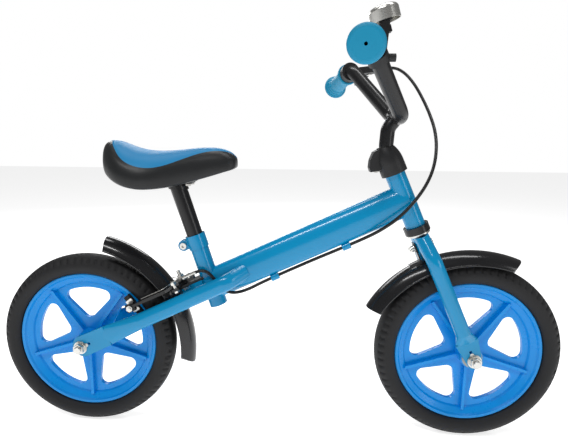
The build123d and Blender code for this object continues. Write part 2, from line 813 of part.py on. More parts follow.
def brake_lever():
    x, y = lever_pivot
    outline = Polyline(
        (x - 5.0, y + 1.0), (x - 2.0, y + 12.0), (x + 3.0, y + 22.0), (x + 4.5, y + 45.0),
        (x + 2.5, y + 66.0), (x + 0.5, y + 74.0), (x + 5.0, y + 77.0), (x + 8.5, y + 68.0),
        (x + 10.5, y + 46.0), (x + 9.0, y + 20.0),
        (x + 5.5, y + 8.0), (x + 5.0, y - 2.5), (x - 4.0, y - 2.5), (x - 5.0, y + 1.0),
    )
    face = fillet(make_face(outline).vertices(), 1.0)
    lever = extrude(lever_plane() * face, lever_thickness / 2, both=True)
    return lever - rod(lever_point(x, y, -10), lever_point(x, y, 10), lever_pin_radius + running_gap)


# Bell: clamped on the right limb of the handlebar, below its shoulder
limb_axis = (right_side(bar_shoulder) - right_side(bar_elbow)).normalized()
bell_clamp = right_side(bar_elbow) + limb_axis * bell_along_limb
bell_up = Vector(*bell_lean).normalized()
bell_foot = bell_clamp + Vector(*bell_offset)


def bell_base():
    half = bell_clamp_width / 2
    outer = bar_radius + 3.0
    clamp = rod(bell_clamp - limb_axis * half, bell_clamp + limb_axis * half, outer)
    lug_end = bell_clamp + Vector(outer + 8.0, 0, 0)
    lug = rod(bell_clamp, lug_end, 5.0)
    neck_top = bell_foot + bell_up * 3.0
    neck = loft([
        Plane(origin=bell_clamp + Vector(2, 0, 6), x_dir=(0, 1, 0), z_dir=neck_top - bell_clamp)
        * Rectangle(13, 15),
        Plane(origin=neck_top, x_dir=(0, 1, 0), z_dir=bell_up) * Rectangle(10, 12),
    ])
    seat = rod(bell_foot, bell_foot + bell_up * 4.0, 8.0)
    post = rod(bell_foot, bell_foot + bell_up * (bell_height - bell_wall - 0.05), 3.2)
    base = clamp + lug + neck + seat + post
    base -= swept(bar_path(), bar_radius)
    return base.solids().sort_by(SortBy.VOLUME)[-1]


def bell_cup():
    inner_r = bell_radius - bell_wall
    crown = bell_height - 5.0
    outline = Polyline((inner_r, 0), (bell_radius, 0), (bell_radius, crown))
    outline += ThreePointArc(
        (bell_radius, crown), (bell_radius - 2.2, crown + 3.6), (bell_radius - 7.0, bell_height)
    )
    outline += Polyline((bell_radius - 7.0, bell_height), (0, bell_height), (0, bell_height - bell_wall))
    outline += Line((0, bell_height - bell_wall), (bell_radius - 7.0, bell_height - bell_wall))
    outline += ThreePointArc(
        (bell_radius - 7.0, bell_height - bell_wall), (bell_radius - 3.2, crown + 2.2), (inner_r, crown)
    )
    outline += Line((inner_r, crown), (inner_r, 0))
    plane = Plane(origin=bell_foot, x_dir=left, z_dir=bell_up)
    profile = Plane(origin=bell_foot, x_dir=left, z_dir=left.cross(bell_up))
    cup = revolve(profile * make_face(outline), Axis(bell_foot, bell_up))
    return cup - extrude(plane * Circle(2.0), 60)


def bell_screw():
    top = bell_foot + bell_up * bell_height
    screw = rod(top - bell_up * bell_wall, top, 2.0)
    return screw + rod(top, top + bell_up * 1.8, 4.0)


def striker_point(x, z, y=0.0):
    # x towards the rider's left, z up along the bell, y across them
    return bell_foot + left * x + bell_up * z + left.cross(bell_up) * y


def striker_plane():
    return Plane(origin=striker_point(*striker_pivot), x_dir=left, z_dir=left.cross(bell_up))


def bell_striker():
    x, z = striker_pivot
    plane = striker_plane()
    bar = plane * Pos(striker_reach / 2 - 0.5, -1.0, 0) * Rectangle(striker_reach + 3, 3.4)
    arm = extrude(bar, 2.4, both=True)
    arm += extrude(plane * Circle(3.0), 2.4, both=True)
    hammer = x + striker_reach
    arm += rod(striker_point(hammer, z - 1.2), striker_point(hammer, z + 3.6), 2.6)
    return arm - rod(striker_point(x, z, -8), striker_point(x, z, 8), 1.2 + running_gap)


def striker_pin():
    x, z = striker_pivot
    return rod(striker_point(x, z, -5.2), striker_point(x, z, 5.2), 1.2)


def striker_ears(base):
    x, z = striker_pivot
    plane = striker_plane()
    ears = extrude(plane * Pos(-3.5, -1.5, 0) * Rectangle(12.0, 8.0), 5.2, both=True)
    held = base + ears
    held -= extrude(plane * Pos(3.5, 0, 0) * Rectangle(14.0, 12.0), 2.4 + free_gap, both=True)
    return held - rod(striker_point(x, z, -8), striker_point(x, z, 8), 1.2)


# Mudguards

def guard(axle, radius, shift, start, end, tips):
    half = guard_half_width
    edge = radius - guard_crown
    outline = ThreePointArc((edge, half), (radius, 0), (edge, -half))
    outline += Line((edge, -half), (edge, -half + guard_wall))
    outline += ThreePointArc((edge, -half + guard_wall), (radius - guard_wall, 0), (edge, half - guard_wall))
    outline += Line((edge, half - guard_wall), (edge, half))
    shell = revolve(make_face(outline), Axis.Y, revolution_arc=end - start)
    for side in (1, -1):
        bead = Pos(edge, side * (half - guard_wall / 2), 0) * Circle(guard_bead)
        shell += revolve(bead, Axis.Y, revolution_arc=end - start)
    shell = Rot(0, -end, 0) * shell
    for angle, onward, tip in ((start, -1, tips[0]), (end, 1, tips[1])):
        turn = radians(angle)
        out = Vector(cos(turn), 0, sin(turn))
        ahead = Vector(-sin(turn), 0, cos(turn)) * onward
        plane = Plane(origin=out * (radius + 12) - ahead * tip, x_dir=ahead, z_dir=-out)
        rounding = Pos(tip, 0) * Rectangle(2 * tip, 80) - Ellipse(tip, half + 2.5)
        shell -= extrude(plane * rounding, 60)
    centre = axle + Vector(shift[0], 0, shift[1])
    return Pos(centre.X, centre.Y, centre.Z) * shell.solids().sort_by(SortBy.VOLUME)[-1]


def guard_cutter(axle, radius, shift):
    # Everything inside the mudguard's outer face
    half = guard_half_width + 8
    centre = axle + Vector(shift[0], 0, shift[1])
    edge = radius - guard_crown
    outline = ThreePointArc((edge, guard_half_width), (radius, 0), (edge, -guard_half_width))
    outline += Line((radius - guard_crown, -guard_half_width), (0, -half))
    outline += Line((0, -half), (0, half))
    outline += Line((0, half), (radius - guard_crown, guard_half_width))
    body = revolve(make_face(outline), Axis.Y, revolution_arc=360)
    return Pos(centre.X, centre.Y, centre.Z) * body


def front_guard():
    return guard(front_axle, front_guard_radius, front_guard_shift, front_guard_from, front_guard_to,
                 front_guard_tips)


def rear_guard():
    return guard(rear_axle, rear_guard_radius, rear_guard_shift, rear_guard_from, rear_guard_to,
                 rear_guard_tips)


def front_guard_bracket():
    # Strap behind the crown, bent forward onto the top of the mudguard
    behind = steerer_radius + 0.3
    thickness = 2.0
    plane = Plane(origin=on_steering(front_guard_bolt), x_dir=steer_across, z_dir=-left)
    strap = extrude(
        plane * Pos(-behind - thickness / 2, -10.0, 0) * Rectangle(thickness, 36.0),
        strap_half_width, both=True
    )
    foot = extrude(plane * Pos(-behind - 9.0, -26.0, 0) * Rectangle(20.0, 20.0), strap_half_width, both=True)
    cutter = guard_cutter(front_axle, front_guard_radius, front_guard_shift)
    thick = guard_cutter(front_axle, front_guard_radius + thickness, front_guard_shift)
    strap = (strap + (foot & thick)) - cutter
    bolt = guard_bolt_centre()
    strap -= rod(bolt - steer_across * 30, bolt, 3.1)
    return strap.solids().sort_by(SortBy.VOLUME)[-1]


def front_guard_bolt_set():
    centre = guard_bolt_centre()
    front = steerer_radius + 0.1
    behind = steerer_radius + 2.5
    bolt = rod(centre - steer_across * (behind + 8.0), centre + steer_across * front, 3.0)
    bolt += rod(centre + steer_across * front, centre + steer_across * (front + 3.2), 5.0)
    washer = ring(centre - steer_across * (behind + 1.2), centre - steer_across * behind, 7.0, 3.0)
    nut = rod(centre - steer_across * (behind + 5.5), centre - steer_across * (behind + 1.3), 5.0)
    wing_plane = Plane(origin=centre - steer_across * (behind + 4.4), x_dir=left, z_dir=-steer_across)
    nut += extrude(wing_plane * Rectangle(19.0, 2.0), 4.0)
    nut -= rod(centre - steer_across * 40, centre, 3.0)
    return [bolt, washer, nut]


def rear_guard_bracket():
    # Strap under the brake bracket, bent down onto the mudguard behind it
    thickness = 2.0
    high = bracket_level
    strap = extrude(brake_plane(high - thickness, -11.0) * Rectangle(36.0, 2 * strap_half_width), thickness)
    foot = extrude(brake_plane(high - 30.0, -22.0) * Rectangle(28.0, 2 * strap_half_width), 30.0)
    cutter = guard_cutter(rear_axle, rear_guard_radius, rear_guard_shift)
    thick = guard_cutter(rear_axle, rear_guard_radius + thickness, rear_guard_shift)
    strap = (strap + (foot & thick)) - cutter
    strap -= rod(on_brake(0, 0, 0), on_brake(0, 0, 40), brake_bolt_radius)
    return strap.solids().sort_by(SortBy.VOLUME)[-1]


# Rear brake

def brake_bracket():
    plate = extrude(brake_plane(bracket_level, 21.5) * Rectangle(47.0, 26.0), bracket_thickness)
    plate += extrude(brake_plane(bracket_level, 0.0) * Circle(10.0), bracket_thickness)
    plate -= rod(on_brake(0, 0, 0), on_brake(0, 0, 60), brake_bolt_radius)
    plate -= seat_tube_cylinder(seat_tube_radius, 3.0)
    return plate.solids().sort_by(Axis.X)[0]


def brake_bolt():
    low = bracket_level - 2.0
    bolt = rod(on_brake(0, 0, low - 4.4), on_brake(0, 0, brake_bolt_top), brake_bolt_radius)
    bolt += hexagon(on_brake(0, 0, low - 4.4), on_brake(0, 0, low), 10.0)
    start = arm_level(2)
    washer = ring(on_brake(0, 0, start), on_brake(0, 0, start + 1.2), 7.0, brake_bolt_radius)
    nut = hexagon(on_brake(0, 0, start + 1.2), on_brake(0, 0, start + 6.2), 10.0)
    return [bolt, washer, nut - rod(on_brake(0, 0, start), on_brake(0, 0, start + 20), brake_bolt_radius)]


def arm_level(index):
    return bracket_level + bracket_thickness + 0.4 + index * (arm_thickness + 0.4)


def brake_arm(side, index):
    # Seen from above: pivot, curve out past the tyre, straight back to the pad
    level = arm_level(index)
    y = side * arm_side
    half = arm_width / 2
    plane = brake_plane(level)
    outline = Polyline(
        (6.5, -side * 4.0), (7.5, side * 8.0), (0.5, side * 22.0), (-20.0, y + side * half),
        (-pad_back - 7.0, y + side * half), (-pad_back - 7.0, y - side * half), (-27.0, y - side * half),
        (-10.0, side * 14.0), (-6.5, -side * 4.0), (6.5, -side * 4.0),
    )
    arm = extrude(plane * fillet(make_face(outline).vertices(), 2.5), arm_thickness)
    arm += extrude(plane * Circle(8.0), arm_thickness)
    if side < 0:
        tip = (barrel_back + 2.0, -barrel_side)
    else:
        tip = (-anchor_back, -anchor_side)
    lever = Polyline(
        (5.0, 4.0), (-5.0, -4.0), (tip[0] - 5.5, tip[1] - 4.5), (tip[0] + 5.5, tip[1] - 4.5),
        (tip[0] + 5.5, tip[1] + 4.5), (5.0, 4.0),
    )
    arm += extrude(plane * make_face(lever), arm_thickness)
    low = pad_level - 6.5
    arm += extrude(brake_plane(low, -pad_back, y) * Rectangle(14.0, 5.0), 13.0)
    arm -= rod(on_brake(0, 0, 0), on_brake(0, 0, 80), brake_bolt_radius + running_gap)
    if side > 0:
        foot = on_brake(-anchor_back, -anchor_side, 0)
        arm -= rod(foot, foot + main_normal * 60, 2.5)
    centre = pad_centre(side)
    stud_hole = rod(centre, centre + left * side * 30, 2.5)
    nut_room = rod(on_brake(-pad_back, side * (arm_side + 2.5), pad_level), centre + left * side * 30, 6.4)
    return (arm - stud_hole - nut_room).solids().sort_by(SortBy.VOLUME)[-1]


def pad_centre(side):
    return on_brake(-pad_back, side * (rim_width / 2 + pad_gap + pad_thickness / 2), pad_level)


def brake_pad(side):
    centre = pad_centre(side)
    to_axle = (centre - rear_axle)
    outward = Vector(to_axle.X, 0, to_axle.Z).normalized()
    plane = Plane(origin=centre, x_dir=outward.cross(left), z_dir=outward)
    block = extrude(plane * Rectangle(pad_length, pad_thickness), pad_height / 2, both=True)
    return fillet(block.edges().filter_by(Axis(centre, outward)), 2.0)


def pad_fixings(side):
    centre = pad_centre(side)
    out = left * side
    back = pad_thickness / 2
    arm_outer = arm_side + 2.5 - (rim_width / 2 + pad_gap + pad_thickness / 2)
    plane = Plane(origin=centre + out * (back + 0.8), x_dir=pad_tangent(side), z_dir=out)
    holder = extrude(plane * Rectangle(pad_length * 0.62, pad_height + 2.0), 0.8, both=True)
    stud = rod(centre + out * (back + 1.6), centre + out * (arm_outer + 7.0), 2.5)
    nut = hexagon(centre + out * arm_outer, centre + out * (arm_outer + 5.0), 9.0)
    nut -= rod(centre, centre + out * 40, 2.5)
    return [holder + stud, nut]


def pad_tangent(side):
    to_axle = pad_centre(side) - rear_axle
    return Vector(to_axle.X, 0, to_axle.Z).normalized().cross(left)


def barrel_adjuster():
    level = arm_level(1) + arm_thickness
    y = -barrel_side
    centre = level + barrel_lift
    barrel = rod(on_brake(barrel_back - 10, y, centre), on_brake(barrel_back + 13, y, centre), 3.0)
    barrel += rod(on_brake(barrel_back - 1.0, y, centre), on_brake(barrel_back + 3.0, y, centre), 3.5)
    barrel += rod(on_brake(barrel_back, y, level), on_brake(barrel_back, y, centre), 3.0)
    socket_start = on_brake(barrel_back + 8, y, centre)
    barrel -= rod(socket_start, on_brake(barrel_back + 14, y, centre), cable_radius + 0.1)
    return barrel - rod(on_brake(barrel_back - 12, y, centre), on_brake(barrel_back + 12, y, centre), 0.9)


def cable_anchor():
    level = arm_level(1) + arm_thickness + 0.5
    y = -anchor_side
    low = arm_level(0)
    bolt = rod(on_brake(-anchor_back, y, low - 3.0), on_brake(-anchor_back, y, level + 6.0), 2.5)
    bolt += hexagon(on_brake(-anchor_back, y, low - 3.0), on_brake(-anchor_back, y, low), 8.0)
    return bolt + hexagon(on_brake(-anchor_back, y, level + 1.0), on_brake(-anchor_back, y, level + 5.0), 8.0)


def return_spring():
    # Wire round the back of the brake bolt with an end along each arm
    level = arm_level(2) + 1.1
    y = arm_side - 3.0
    path = FilletPolyline(
        on_brake(-62.0, -y, level), on_brake(-24.0, -y, level), on_brake(-10.0, -8.0, level),
        on_brake(-10.0, 8.0, level), on_brake(-24.0, y, level), on_brake(-62.0, y, level), radius=6.0
    )
    return swept(path, 0.9)


# Seat

def seat_post():
    low = seat_foot + seat_up * post_low
    high = seat_foot + seat_up * post_high
    return ring(low, high, post_radius, post_radius - post_wall)


def post_top():
    return seat_foot + seat_up * post_high


def saddle_plate():
    top = post_top()
    face = Plane(origin=(top.X, 0, saddle_plate_low)) * RectangleRounded(50, 34, 5)
    plate = extrude(face, saddle_plate_thickness)
    collar = rod(top - seat_up * 12.0, top + seat_up * 8.0, post_radius + 2.2)
    plate += collar & extrude(Plane(origin=(top.X, 0, saddle_plate_low - 9)) * Rectangle(60, 40), 10.0)
    plate -= rod(top - seat_up * 40, top, post_radius)
    for x, y in saddle_bolt_places():
        plate -= rod((top.X + x, y, saddle_plate_low - 15), (top.X + x, y, saddle_plate_low + 9), 2.5)
    return plate.solids().sort_by(SortBy.VOLUME)[-1]


def saddle_bolt_places():
    return [(x, y) for x in (-19.0, 19.0) for y in (-11.5, 11.5)]


def saddle_bolts():
    top = post_top()
    bolts = []
    for x, y in saddle_bolt_places():
        low = saddle_plate_low
        bolt = rod((top.X + x, y, low), (top.X + x, y, low + 3.6), 2.5)
        bolts.append(bolt + hexagon((top.X + x, y, low - 3.2), (top.X + x, y, low), 8.0))
    return bolts


def saddle_outline(half, low, high):
    # Cross section: flat underside, rounded flank, domed top
    height = high - low
    flank = Spline(
        (half * 0.8, low), (half * 0.985, low + height * 0.13), (half, low + height * 0.32),
        (half * 0.88, low + height * 0.66), (half * 0.54, high - height * 0.08), (0, high),
        (-half * 0.54, high - height * 0.08), (-half * 0.88, low + height * 0.66),
        (-half, low + height * 0.32),
        (-half * 0.985, low + height * 0.13), (-half * 0.8, low),
    )
    return make_face(flank + Line((-half * 0.8, low), (half * 0.8, low)))


def saddle_body():
    faces = []
    for x, half, low, high in saddle_sections:
        plane = Plane(origin=(x, 0, 0), x_dir=(0, 1, 0), z_dir=(1, 0, 0))
        faces.append(plane * saddle_outline(half, low, high))
    return loft(faces)


def pan_space(inset, low_shift, high_shift):
    # Block under the padding that follows the saddle's underside
    faces = []
    for x, half, low, high in saddle_sections[2:-1]:
        width = 2 * (half * 0.8 - inset)
        plane = Plane(origin=(x, 0, low + (low_shift + high_shift) / 2), x_dir=(0, 1, 0), z_dir=(1, 0, 0))
        faces.append(plane * Rectangle(width, high_shift - low_shift))
    return loft(faces)


def saddle_pan():
    top = post_top()
    space = pan_space(pan_inset, -4.0, pan_depth)
    pan = space - pan_space(pan_inset - 6.0, -20.0, pan_depth - pan_thickness)
    plate_top = saddle_plate_low + saddle_plate_thickness
    boss = extrude(Plane(origin=(top.X, 0, plate_top)) * RectangleRounded(56, 40, 5), 30.0)
    pan += boss & space
    pan -= extrude(Plane(origin=(top.X, 0, plate_top - 20)) * Rectangle(52, 36), 20.0)
    for x, y in saddle_bolt_places():
        pan -= rod((top.X + x, y, saddle_plate_low - 5), (top.X + x, y, saddle_plate_low + 20), 2.5)
    return pan.solids().sort_by(SortBy.VOLUME)[-1]


def saddle_pad():
    pad = saddle_body() - pan_space(pan_inset, -4.0, pan_depth)
    return pad.solids().sort_by(SortBy.VOLUME)[-1]


# Cable

def cable_radii():
    radii = []
    for i in range(1, len(cable_points) - 1):
        before = Vector(cable_points[i]) - Vector(cable_points[i - 1])
        after = Vector(cable_points[i + 1]) - Vector(cable_points[i])
        turn = radians(before.get_angle(after))
        radii.append(0.45 * min(before.length, after.length) / tan(turn / 2))
    return radii


def brake_cable():
    radii = cable_radii()
    path = FilletPolyline(*[Vector(p) for p in cable_points], radius=radii)
    tube = swept(path, cable_radius)
    section = pi * cable_radius ** 2
    print("cable length", round(path.length, 1), "arc radii", [round(r, 1) for r in radii])
    print("cable volume over section times length", round(tube.volume / (section * path.length), 4))
    return tube


def main():
    os.makedirs("parts", exist_ok=True)
    head_outer, head_inner = head_tube()
    seat_outer = seat_tube_cylinder(seat_tube_radius, 1.0)
    main_tube = main_tube_solid(0) - main_tube_solid(main_tube_wall, 1.0) - head_outer - seat_outer
    save(head_outer - head_inner, "head_tube")
    save(main_tube.solids().sort_by(SortBy.VOLUME)[-1], "main_tube")
    save(seat_tube(), "seat_tube")
    save(join(seat_clamp_bolt()), "seat_clamp_bolt")
    stay = chain_stay_right()
    save(stay, "chain_stay_right")
    save(mirrored(stay), "chain_stay_left")
    save(join(cable_guides()), "cable_guides")
    save(join(headset_cups()), "headset_cups")

    save(steerer(), "steerer")
    blade = fork_blade_right()
    save(blade, "fork_blade_right")
    save(mirrored(blade), "fork_blade_left")
    save(join([crown_race(), headset_cone()] + bearing_balls()), "headset_bearings")
    save(stem_clamp(), "stem_clamp")
    save(join(stem_clamp_bolt()), "stem_clamp_bolt")
    save(headset_cover(), "headset_cover")

    for name, axle, tab in (("front", front_axle, steer_up), ("rear", rear_axle, main_along)):
        axle_rod, spacers, washers, nuts, caps = axle_set(axle, tab)
        save(join([axle_rod] + spacers), name + "_axle")
        save(join(washers), name + "_axle_washers")
        save(join(nuts + caps), name + "_axle_nuts")
        save(place_wheel(mag_wheel(), axle), name + "_wheel")
        save(place_wheel(join(hub_bushes()), axle), name + "_hub_bushes")
        save(place_wheel(tyre(), axle), name + "_tyre")

    save(front_guard(), "front_mudguard")
    save(front_guard_bracket(), "front_mudguard_bracket")
    save(join(front_guard_bolt_set()), "front_mudguard_bolt")
    save(rear_guard(), "rear_mudguard")
    save(rear_guard_bracket(), "rear_mudguard_bracket")

    save(handlebar(), "handlebar")
    save(stem_post(), "stem_post")
    grip = grip_left()
    save(grip, "grip_left")
    save(mirrored(grip), "grip_right")
    save(lever_bracket(), "brake_lever_bracket")
    save(lever_pivot_pin(), "brake_lever_pin")
    save(brake_lever(), "brake_lever")
    save(striker_ears(bell_base()), "bell_base")
    save(bell_cup(), "bell_cup")
    save(bell_striker(), "bell_striker")
    save(join([bell_screw(), striker_pin()]), "bell_fasteners")

    save(brake_bracket(), "brake_bracket")
    save(join(brake_bolt()), "brake_bolt")
    save(brake_arm(-1, 1), "brake_arm_right")
    save(brake_arm(1, 0), "brake_arm_left")
    for side, name in ((-1, "right"), (1, "left")):
        save(brake_pad(side), "brake_pad_" + name)
        save(join(pad_fixings(side)), "brake_pad_holder_" + name)
    save(barrel_adjuster(), "barrel_adjuster")
    save(cable_anchor(), "cable_anchor")
    save(return_spring(), "return_spring")
    save(brake_cable(), "brake_cable")

    save(seat_post(), "seat_post")
    save(saddle_plate(), "saddle_plate")
    save(join(saddle_bolts()), "saddle_bolts")
    save(saddle_pan(), "saddle_pan")
    save(saddle_pad(), "saddle_pad")


main()
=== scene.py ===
import bpy
import bmesh
import json
from math import cos, pi, sin
from mathutils import Matrix, Vector


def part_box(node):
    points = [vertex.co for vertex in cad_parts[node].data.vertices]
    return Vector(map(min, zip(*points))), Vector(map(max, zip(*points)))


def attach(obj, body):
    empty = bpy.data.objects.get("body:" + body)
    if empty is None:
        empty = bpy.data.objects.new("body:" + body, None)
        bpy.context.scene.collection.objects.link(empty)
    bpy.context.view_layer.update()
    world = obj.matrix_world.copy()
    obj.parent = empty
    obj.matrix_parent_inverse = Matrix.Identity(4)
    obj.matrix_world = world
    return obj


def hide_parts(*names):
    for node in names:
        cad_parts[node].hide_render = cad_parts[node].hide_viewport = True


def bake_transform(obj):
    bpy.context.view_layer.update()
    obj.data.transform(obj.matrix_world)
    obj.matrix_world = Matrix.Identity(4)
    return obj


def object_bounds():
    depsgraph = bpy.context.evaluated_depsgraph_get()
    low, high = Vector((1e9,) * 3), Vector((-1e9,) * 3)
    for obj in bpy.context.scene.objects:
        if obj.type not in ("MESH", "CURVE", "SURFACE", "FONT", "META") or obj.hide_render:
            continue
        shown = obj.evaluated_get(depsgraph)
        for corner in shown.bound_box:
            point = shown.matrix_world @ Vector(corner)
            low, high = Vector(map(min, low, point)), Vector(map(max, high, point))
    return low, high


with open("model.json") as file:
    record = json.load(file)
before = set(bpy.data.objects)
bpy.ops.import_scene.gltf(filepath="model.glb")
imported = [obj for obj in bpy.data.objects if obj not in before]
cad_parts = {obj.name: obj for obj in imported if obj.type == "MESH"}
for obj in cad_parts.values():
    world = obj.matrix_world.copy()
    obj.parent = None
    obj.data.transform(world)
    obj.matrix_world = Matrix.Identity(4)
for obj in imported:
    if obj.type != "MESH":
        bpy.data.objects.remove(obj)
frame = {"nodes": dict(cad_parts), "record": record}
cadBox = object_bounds()
nodes = frame["nodes"]

print("camera, light and floor")

cameraSet = {
    "place": (0.03568, -0.67141, 0.47131),
    "yaw": -0.057,
    "pitch": 0.170,
    "roll": 0.008,
    "lens": 27.95,
    "shift": (0.0186, -0.0101),
}


def makeCamera():
    yaw, pitch, roll = cameraSet["yaw"], cameraSet["pitch"], cameraSet["roll"]
    ahead = Vector((sin(yaw) * cos(pitch), cos(yaw) * cos(pitch), -sin(pitch)))
    level = Vector((cos(yaw), -sin(yaw), 0))
    upward = level.cross(ahead)
    right = level * cos(roll) + upward * sin(roll)
    top = upward * cos(roll) - level * sin(roll)
    data = bpy.data.cameras.new("camera")
    data.lens = cameraSet["lens"]
    data.sensor_width = 36
    data.shift_x, data.shift_y = cameraSet["shift"]
    data.clip_start = 0.02
    camera = bpy.data.objects.new("camera", data)
    bpy.context.scene.collection.objects.link(camera)
    turn = Matrix((right, top, -ahead)).transposed().to_4x4()
    camera.matrix_world = Matrix.Translation(cameraSet["place"]) @ turn
    bpy.context.scene.camera = camera


def areaLight(name, place, target, size, power, tint=(1, 1, 1)):
    data = bpy.data.lights.new(name, "AREA")
    data.shape = "RECTANGLE"
    data.size, data.size_y = size
    data.energy = power
    data.color = tint
    light = bpy.data.objects.new(name, data)
    bpy.context.scene.collection.objects.link(light)
    light.location = place
    light.rotation_mode = "QUATERNION"
    light.rotation_quaternion = (Vector(target) - Vector(place)).to_track_quat("-Z", "Y")


lightSet = {
    "key": ((-0.7, -1.3, 2.1), (0, 0, 0.3), (1.3, 0.22), 20),
    "overhead": ((0.15, 0.25, 2.1), (0, 0, 0.3), (2.0, 0.3), 17),
    "fill": ((1.9, -1.3, 0.8), (0, 0, 0.3), (0.6, 1.0), 6),
    "rear": ((-0.6, 1.9, 1.2), (0, 0, 0.3), (1.4, 0.5), 12),
}


def makeLights():
    for name, (place, target, size, power) in lightSet.items():
        areaLight(name, place, target, size, power)
    world = bpy.data.worlds.new("studio")
    world.use_nodes = True
    tree = world.node_tree
    seen = tree.nodes["Background"]                     # plain white behind the object
    seen.inputs["Color"].default_value = (1, 1, 1, 1)
    seen.inputs["Strength"].default_value = 1.0
    glow = tree.nodes.new("ShaderNodeBackground")       # dim room that lights it
    glow.inputs["Color"].default_value = (1, 1, 1, 1)
    glow.inputs["Strength"].default_value = 0.17
    path = tree.nodes.new("ShaderNodeLightPath")
    mix = tree.nodes.new("ShaderNodeMixShader")
    tree.links.new(path.outputs["Is Camera Ray"], mix.inputs[0])
    tree.links.new(glow.outputs[0], mix.inputs[1])
    tree.links.new(seen.outputs[0], mix.inputs[2])
    tree.links.new(mix.outputs[0], tree.nodes["World Output"].inputs["Surface"])
    bpy.context.scene.world = world
    bpy.context.scene.view_settings.view_transform = "Standard"


def makeFloor():
    mesh = bpy.data.meshes.new("floor")
    form = bmesh.new()
    bmesh.ops.create_grid(form, x_segments=1, y_segments=1, size=6)
    form.to_mesh(mesh)
    form.free()
    floor = bpy.data.objects.new("floor", mesh)
    bpy.context.scene.collection.objects.link(floor)
    floor.location.z = cadBox[0].z - 0.0004
    paint = bpy.data.materials.new("paleFloor")
    paint.use_nodes = True
    surface = paint.node_tree.nodes["Principled BSDF"]
    surface.inputs["Base Color"].default_value = (0.9, 0.9, 0.9, 1)
    surface.inputs["Roughness"].default_value = 0.75
    surface.inputs["Emission Color"].default_value = (1, 1, 1, 1)
    surface.inputs["Emission Strength"].default_value = 0.72
    mesh.materials.append(paint)


makeCamera()
makeLights()
makeFloor()

print("materials")

# colour, second colour, roughness, metal, coat, grain per metre, bump height in metres, roughness spread
finishes = {
    "bluePaint": (
        (0.0, 0.285, 0.56), (0.0, 0.25, 0.51),
        0.2, 0.0, 0.3, 90, 0.00004, 0.06,
    ),
    "blackPaint": (
        (0.008, 0.008, 0.009), (0.013, 0.013, 0.014),
        0.3, 0.0, 0.15, 420, 0.00004, 0.08,
    ),
    "blackPlastic": (
        (0.014, 0.014, 0.015), (0.022, 0.022, 0.023),
        0.46, 0.0, 0.0, 900, 0.00005, 0.1,
    ),
    "glossPlastic": (
        (0.01, 0.01, 0.011), (0.016, 0.016, 0.017),
        0.2, 0.0, 0.3, 160, 0.00005, 0.08,
    ),
    "wheelPlastic": (
        (0.0, 0.3, 0.8), (0.0, 0.265, 0.72),
        0.3, 0.0, 0.1, 240, 0.00005, 0.1,
    ),
    "whitePlastic": (
        (0.55, 0.55, 0.52), (0.45, 0.45, 0.43),
        0.5, 0.0, 0.0, 500, 0.00003, 0.08,
    ),
    "tyreFoam": (
        (0.009, 0.009, 0.01), (0.019, 0.019, 0.02),
        0.66, 0.0, 0.0, 1100, 0.00012, 0.14,
    ),
    "gripRubber": (
        (0.004, 0.27, 0.46), (0.004, 0.235, 0.41),
        0.52, 0.0, 0.0, 1300, 0.00008, 0.1,
    ),
    "padRubber": (
        (0.016, 0.016, 0.016), (0.03, 0.03, 0.03),
        0.7, 0.0, 0.0, 1200, 0.0001, 0.1,
    ),
    "cableSheath": (
        (0.01, 0.01, 0.01), (0.016, 0.016, 0.016),
        0.33, 0.0, 0.0, 700, 0.00003, 0.08,
    ),
    "zincSteel": (
        (0.78, 0.77, 0.73), (0.58, 0.57, 0.54),
        0.3, 1.0, 0.0, 800, 0.00004, 0.14,
    ),
    "bellSteel": (
        (0.86, 0.85, 0.81), (0.74, 0.73, 0.69),
        0.3, 1.0, 0.0, 600, 0.00002, 0.1,
    ),
}


def makeMaterial(name):
    colour, second, rough, metal, coat, scale, height, spread = finishes[name]
    made = bpy.data.materials.new(name)
    made.use_nodes = True
    tree = made.node_tree
    surface = tree.nodes["Principled BSDF"]
    surface.inputs["Metallic"].default_value = metal
    surface.inputs["Specular IOR Level"].default_value = 0.5 if metal else 0.32
    surface.inputs["Coat Weight"].default_value = coat
    surface.inputs["Coat Roughness"].default_value = 0.08
    place = tree.nodes.new("ShaderNodeTexCoord")
    broad = tree.nodes.new("ShaderNodeTexNoise")   # slow changes of colour and gloss
    broad.inputs["Scale"].default_value = 22
    broad.inputs["Detail"].default_value = 5
    fine = tree.nodes.new("ShaderNodeTexNoise")    # grain
    fine.inputs["Scale"].default_value = scale
    fine.inputs["Detail"].default_value = 3
    for noise in (broad, fine):
        tree.links.new(place.outputs["Object"], noise.inputs["Vector"])
    mix = tree.nodes.new("ShaderNodeMix")
    mix.data_type = "RGBA"
    mix.inputs[6].default_value = (*colour, 1)
    mix.inputs[7].default_value = (*second, 1)
    tree.links.new(broad.outputs["Fac"], mix.inputs[0])
    tree.links.new(mix.outputs[2], surface.inputs["Base Color"])
    blend = tree.nodes.new("ShaderNodeMath")
    blend.operation = "ADD"
    tree.links.new(broad.outputs["Fac"], blend.inputs[0])
    tree.links.new(fine.outputs["Fac"], blend.inputs[1])
    gloss = tree.nodes.new("ShaderNodeMapRange")
    gloss.inputs["From Min"].default_value = 0.7
    gloss.inputs["From Max"].default_value = 1.3
    gloss.inputs["To Min"].default_value = rough - spread / 2
    gloss.inputs["To Max"].default_value = rough + spread / 2
    tree.links.new(blend.outputs[0], gloss.inputs["Value"])
    tree.links.new(gloss.outputs["Result"], surface.inputs["Roughness"])
    bump = tree.nodes.new("ShaderNodeBump")
    bump.inputs["Strength"].default_value = 0.6
    bump.inputs["Distance"].default_value = height
    tree.links.new(fine.outputs["Fac"], bump.inputs["Height"])
    tree.links.new(bump.outputs["Normal"], surface.inputs["Normal"])
    return made


materials = {name: makeMaterial(name) for name in finishes}

